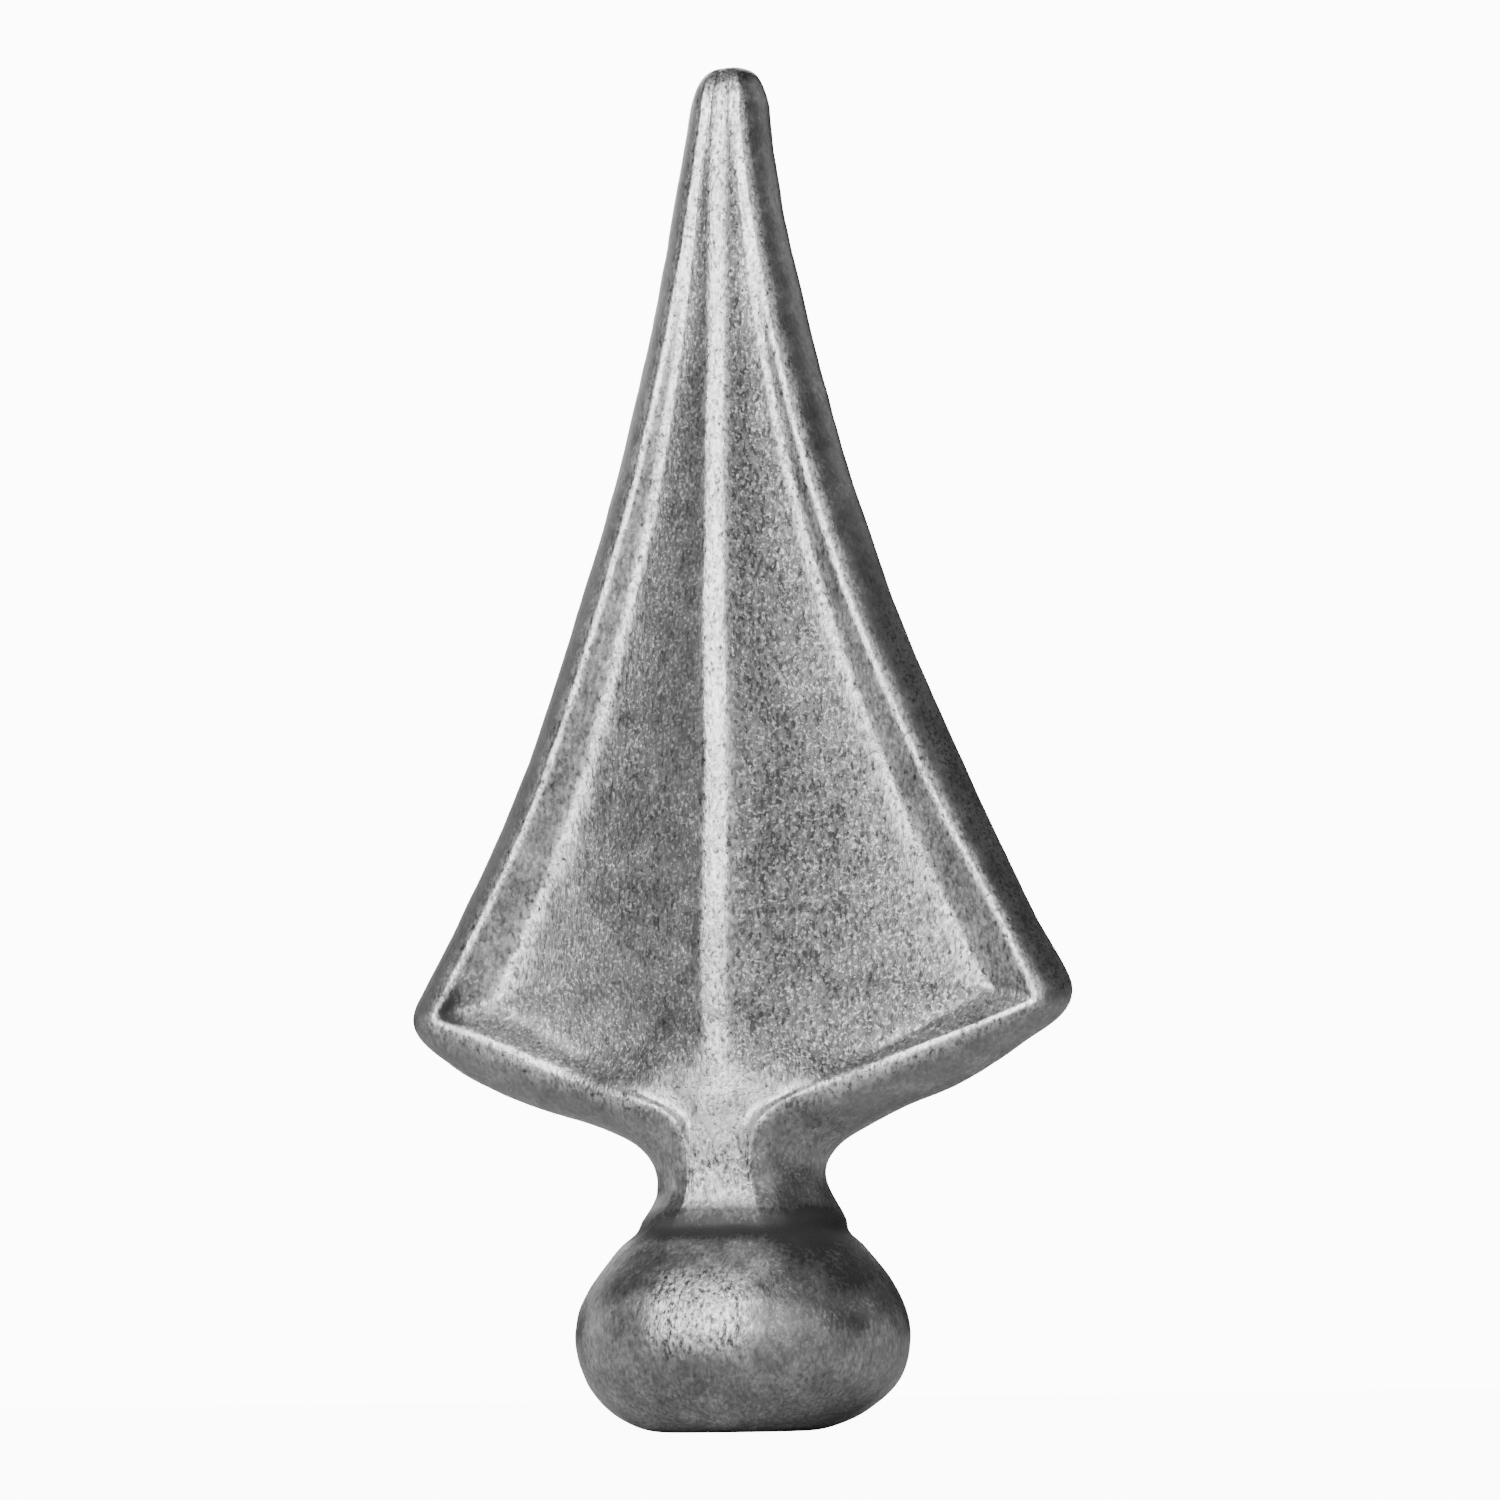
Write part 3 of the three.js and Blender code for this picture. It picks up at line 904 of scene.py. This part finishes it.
RIGHT_PAINTED_SHADE = [
    # Centre, reach and strength of the patches of painted shade on the front, right of the middle.
    ((3.4, 27.5), 4.5, 0.6),
    ((7.5, 25.5), 3.5, 0.5),
    ((9.5, 20.3), 5, 1.4),
    ((14.5, 17), 5.5, 1.3),
    ((10.5, 12.5), 5, 0.5),
]


def stem_masks(width, height, column, on_front, on_right):
    """Wear with painted light, and grain, at a point of the bulb, the crease or the neck."""
    # A painted highlight: the key light's reflection, a squarish pale patch on the front of the
    # bulb.
    patch = band(PATCH_HALF_WIDTH - width, PATCH_BORDER) if on_front else 0
    patch *= band(PATCH_HALF_HEIGHT - abs(height - PATCH_CENTRE_Z), PATCH_BORDER)
    on_face = band(height, FACE_FOOT_Z) * band(column, FACE_EDGE_COLUMNS)
    face_top = band(height, FACE_TOP_Z)
    # Painted shade in the crease and on the neck's foot just above it.
    crease = fade(abs(height - CREASE_SHADE_Z) / CREASE_REACH)
    above = fade(abs(height - ABOVE_CREASE_Z) / ABOVE_CREASE_REACH)
    # The neck's face and the gusset: wear and a painted highlight.
    face_wear_and_highlight = mix(FACE_WEAR_AND_HIGHLIGHT, GUSSET_WEAR_AND_HIGHLIGHT, face_top)
    wear_and_painted_light = mix(BULB_WEAR + PATCH_PAINTED_HIGHLIGHT * patch, face_wear_and_highlight, on_face)
    wear_and_painted_light = mix(mix(wear_and_painted_light, ABOVE_CREASE_PAINTED_SHADE, above), CREASE_PAINTED_SHADE, crease)
    # Painted shade on the bulb's right shoulder and the neck beside it.
    if on_front and on_right:
        for centre, reach, strength in RIGHT_PAINTED_SHADE:
            wear_and_painted_light -= strength * nearness(width, height, centre, reach)
    face_grain = mix(FACE_GRAIN, GUSSET_GRAIN, face_top)
    grain = mix(BULB_GRAIN + PATCH_GRAIN * patch, face_grain, on_face)
    return wear_and_painted_light, mix(grain, CREASE_GRAIN, max(crease, above))


print("patches of scale right of the middle:", len(RIGHT_PAINTED_SHADE))

# %% Put the masks on the cage
BLADE_FROM = (0.6, 1.05)


def masks_at(number, place):
    """Both masks at a place of a ring: the stem's below the waist, the blade's above it."""
    half = place % (2 * COLUMNS)
    column = min(half, 2 * COLUMNS - half)
    width, _, height = quarters[number][column]
    station = ring_stations[number]
    on_front = place < 2 * COLUMNS
    on_right = place < COLUMNS or place > 3 * COLUMNS
    stem = stem_masks(width, height, column, on_front, on_right)
    blade = blade_masks(width, height, column, station, on_front, on_right)
    return [mix(a, b, band(station, BLADE_FROM)) for a, b in zip(stem, blade)]


mesh = finial.data
numbers = [value.value for value in mesh.attributes["ring"].data]
places = [value.value for value in mesh.attributes["place"].data]
masks = [masks_at(number, place) for number, place in zip(numbers, places)]
for name in ("ring", "place"):
    mesh.attributes.remove(mesh.attributes[name])
for index, name in enumerate(("wear_and_painted_light", "grain")):
    mesh.attributes.new(name, "FLOAT", "POINT")
    mesh.attributes[name].data.foreach_set("value", [mask[index] for mask in masks])
print("worn points:", sum(mask[0] > 0.5 for mask in masks), "of", len(masks))

# %% [markdown]
# ## From cage to metal
#
# The cage is rounded with the Subdivision Surface modifier. Hammer and die leave no ruled lines,
# so the surface is then moved a few tenths of a millimetre by three cloudy Displace modifiers:
# the waviness of hot work, hammer marks, and the pits that scale leaves. Sculpting them would
# take an hour and give no truer surface. A vertex group keeps the flat underside flat.
# Everything is applied, because the finished mesh is the piece.

# %% Round the cage
bpy.ops.object.modifier_add(type="SUBSURF")
rounding = finial.modifiers[-1]
rounding.levels = 2
rounding.render_levels = 2
bpy.ops.object.modifier_apply(modifier=rounding.name)
bpy.ops.object.shade_smooth()
print("rounded:", len(finial.data.polygons), "faces")

# %% Uneven surface of hot work
UNDERSIDE_KEEP_MM = 1.5
WAVES = [
    # Name, size across and depth in millimetres.
    ("waviness", 14, 0.3),
    ("hammer_marks", 5, 0.15),
    ("scale_pits", 2.4, 0.1),
]

free = finial.vertex_groups.new(name="free_surface")
for vertex in finial.data.vertices:
    free.add([vertex.index], smooth(vertex.co.z / MM / UNDERSIDE_KEEP_MM), "REPLACE")
for name, size_mm, depth_mm in WAVES:
    cloud = bpy.data.textures.new(name, "CLOUDS")
    cloud.noise_scale = size_mm * MM
    cloud.noise_depth = 1
    bpy.ops.object.modifier_add(type="DISPLACE")
    push = finial.modifiers[-1]
    push.texture = cloud
    push.texture_coords = "LOCAL"
    push.mid_level = 0.5
    push.strength = depth_mm * MM
    push.vertex_group = "free_surface"
    bpy.ops.object.modifier_apply(modifier=push.name)
heights = [vertex.co.z / MM for vertex in finial.data.vertices]
print("height now", round(min(heights), 3), "to", round(max(heights), 3), "mm")

# %% [markdown]
# ## The steel
#
# The finial is mild steel, forged hot and shot-blasted, without paint. To the eye that is a
# neutral grey metal with a broad, soft shine: pale where it was rubbed and where highlights
# are painted in, darker and dull where shade is painted in, and glittering in the hollows,
# where every crystal facet and shot mark throws its own glint. Its patterns have these sizes:
# the blasting's grit, facets and single glints; mottled patches of some millimetres, where
# scale came off; and clouds of a centimetre or two. An image could be wrapped round the finial
# instead, but a noise has no seams and can be set in millimetres.

# %% Steel's patterns
# Real grit, facets and glints are taken to be about 0.15 mm across. They would melt into a flat
# grey in the picture, so these three are drawn more than twice as coarse, as coarse as they need
# to be to show.
GRAIN_MM = 0.42
FLECK_MM = 0.38
CRYSTAL_MM = 0.36
MOTTLE_MM = 3.2
CLOUD_MM = 15
GRAIN_STRETCH = 0.55  # below 1: the photo's grain is longer up the finial than across
NOISE_ROUGHNESS = 0.6
EVEN_SPREAD = (0.3, 0.7)
RARE_SPOTS = (0.54, 0.68)

# Shot-blasted forged steel: to the eye a neutral grey metal, softly shining and full of glints.
steel, tree, output = new_material("shot_blasted_forged_steel")
place = add_node(tree, "ShaderNodeTexCoord").outputs["Object"]
stretched = add_node(
    tree, "ShaderNodeMapping", vector=place, scale=(1, 1, GRAIN_STRETCH)
).outputs[0]


def spots(size_mm, vector, detail, limits):
    """A pattern of spots about size_mm across: 0 below the first limit, 1 above the second."""
    noise = add_node(
        tree,
        "ShaderNodeTexNoise",
        vector=vector,
        scale=1 / (size_mm * MM),
        detail=detail,
        roughness=NOISE_ROUGHNESS,
    )
    low, high = limits
    spread = add_node(
        tree, "ShaderNodeMapRange", value=noise.outputs[0], from_min=low, from_max=high
    )
    return spread.outputs[0]


grit = spots(GRAIN_MM, stretched, 2, EVEN_SPREAD)
fleck = spots(FLECK_MM, place, 1, RARE_SPOTS)
cells = add_node(
    tree, "ShaderNodeTexVoronoi", vector=stretched, scale=1 / (CRYSTAL_MM * MM)
).outputs["Color"]
mottle = spots(MOTTLE_MM, place, 3, EVEN_SPREAD)
cloud = spots(CLOUD_MM, place, 2, EVEN_SPREAD)
# The wear mask, with rubbed metal and painted highlights above 0 and painted shade below it.
worn_and_painted_light = add_node(tree, "ShaderNodeAttribute", {"attribute_name": "wear_and_painted_light"}).outputs["Fac"]
grainy = add_node(tree, "ShaderNodeAttribute", {"attribute_name": "grain"}).outputs["Fac"]
print("steel pattern nodes:", len(tree.nodes))

# %% [markdown]
# ## One set of patterns for colour, shine and relief
#
# A pit is dark, rough and deep all at once. So the same patterns drive the colour, the roughness
# and the bump, and the two masks say how strong each one is. A layer is one node that adds a
# pattern times its strength, and a list of layers reads like a recipe. The colour's layers add
# up to a shade, which picks its grey from a ramp. The bump is only three hundredths of a
# millimetre high, because a stronger one makes steel look like crumpled foil.


# %% Patterns weighed by the masks
def layered(base, *layers):
    """base plus each pattern times its strength, one node for each layer."""
    for pattern, strength in layers:
        base = add_node(
            tree,
            "ShaderNodeMath",
            {"operation": "MULTIPLY_ADD"},
            in0=pattern,
            in1=strength,
            in2=base,
        ).outputs[0]
    return base


RUBBED_AND_HIGHLIGHT_CONTRAST = 1.1
DARKEST_FLECK = -0.6
BARE_METAL_AND_HIGHLIGHT = (0.15, 0.8)

rubbed_and_highlight = add_node(tree, "ShaderNodeMath", {"operation": "MAXIMUM"}, in0=worn_and_painted_light, in1=0.0).outputs[0]
dull_and_painted_shade = add_node(tree, "ShaderNodeMath", {"operation": "MINIMUM"}, in0=worn_and_painted_light, in1=0.0).outputs[0]
contrast = layered(grainy, (rubbed_and_highlight, RUBBED_AND_HIGHLIGHT_CONTRAST))
centred_grit = layered(0.0, (layered(-0.5, (grit, 1.0)), contrast))
facets = layered(0.0, (layered(-0.5, (cells, 1.0)), contrast))
centred_mottle = layered(-0.5, (mottle, 1.0))
centred_cloud = layered(-0.5, (cloud, 1.0))
# Flecks glint where it is grainy, and are dark pits on rubbed metal and painted highlights,
# and under painted shade.
fleck_strength = layered(grainy, (dull_and_painted_shade, 1.0), (rubbed_and_highlight, -2.0))
fleck_strength = add_node(
    tree, "ShaderNodeMath", {"operation": "MAXIMUM"}, in0=fleck_strength, in1=DARKEST_FLECK
).outputs[0]
flecks = layered(0.0, (fleck, fleck_strength))
# They come in patches, up to three times as strong where the mottle is palest.
flecks = layered(0.0, (flecks, layered(0.5, (mottle, 1.0))))
# Where the rubbing and the painted highlights end, mottle and grit give them a ragged border.
ragged = layered(worn_and_painted_light, (centred_mottle, 0.5), (centred_grit, 0.6))
bare_and_highlight_edge = add_node(
    tree, "ShaderNodeMapRange", value=ragged, from_min=BARE_METAL_AND_HIGHLIGHT[0], from_max=BARE_METAL_AND_HIGHLIGHT[1]
).outputs[0]
print("nodes with the masks weighed in:", len(tree.nodes))

# %% Steel's surface
DARK_GREY = "#505050"
MIDDLE_GREY = "#9c9c9c"
PALE_GREY = "#e4e4e4"
MIDDLE_AT = 0.4
GRIT_RELIEF_MM = 0.03
MOTTLE_RELIEF_MM = 0.03
FLECK_RELIEF_MM = 0.015

shade = layered(
    0.34,
    (grainy, -0.09),
    # Painted shade: where the wear mask is below 0 the grey is darker.
    (dull_and_painted_shade, 0.3),  # below 0, so it darkens
    # Rubbed metal and painted highlights: paler.
    (rubbed_and_highlight, 0.16),
    # Rubbed metal and painted highlights again, with a crisp ragged border.
    (bare_and_highlight_edge, 0.28),
    (centred_grit, 0.2),
    (facets, 0.34),
    (flecks, 0.55),
    (centred_mottle, 0.14),
    (centred_cloud, 0.12),
)
tone = add_node(tree, "ShaderNodeValToRGB", fac=shade)
tone.color_ramp.elements[0].color = linear(DARK_GREY)
tone.color_ramp.elements[1].color = linear(PALE_GREY)
middle = tone.color_ramp.elements.new(MIDDLE_AT)
middle.color = linear(MIDDLE_GREY)

roughness = layered(
    0.36,
    (dull_and_painted_shade, -0.25),  # below 0, so it roughens
    (rubbed_and_highlight, -0.06),
    (grainy, 0.1),
    (centred_mottle, 0.08),
)
relief = layered(
    0.0,
    (mottle, MOTTLE_RELIEF_MM * MM),
    (layered(0.0, (grit, grainy)), GRIT_RELIEF_MM * MM),
    (flecks, FLECK_RELIEF_MM * MM),
)
bump = add_node(tree, "ShaderNodeBump", height=relief, strength=1.0, distance=1.0)
surface = add_node(
    tree,
    "ShaderNodeBsdfPrincipled",
    base_color=tone.outputs[0],
    metallic=1.0,
    roughness=roughness,
    normal=bump.outputs[0],
)
tree.links.new(surface.outputs[0], output.inputs["Surface"])
finial.data.materials.append(steel)
print("steel nodes:", len(tree.nodes))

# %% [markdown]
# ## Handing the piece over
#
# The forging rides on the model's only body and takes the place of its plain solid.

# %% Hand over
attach(finial, "root")
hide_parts("spear_finial")
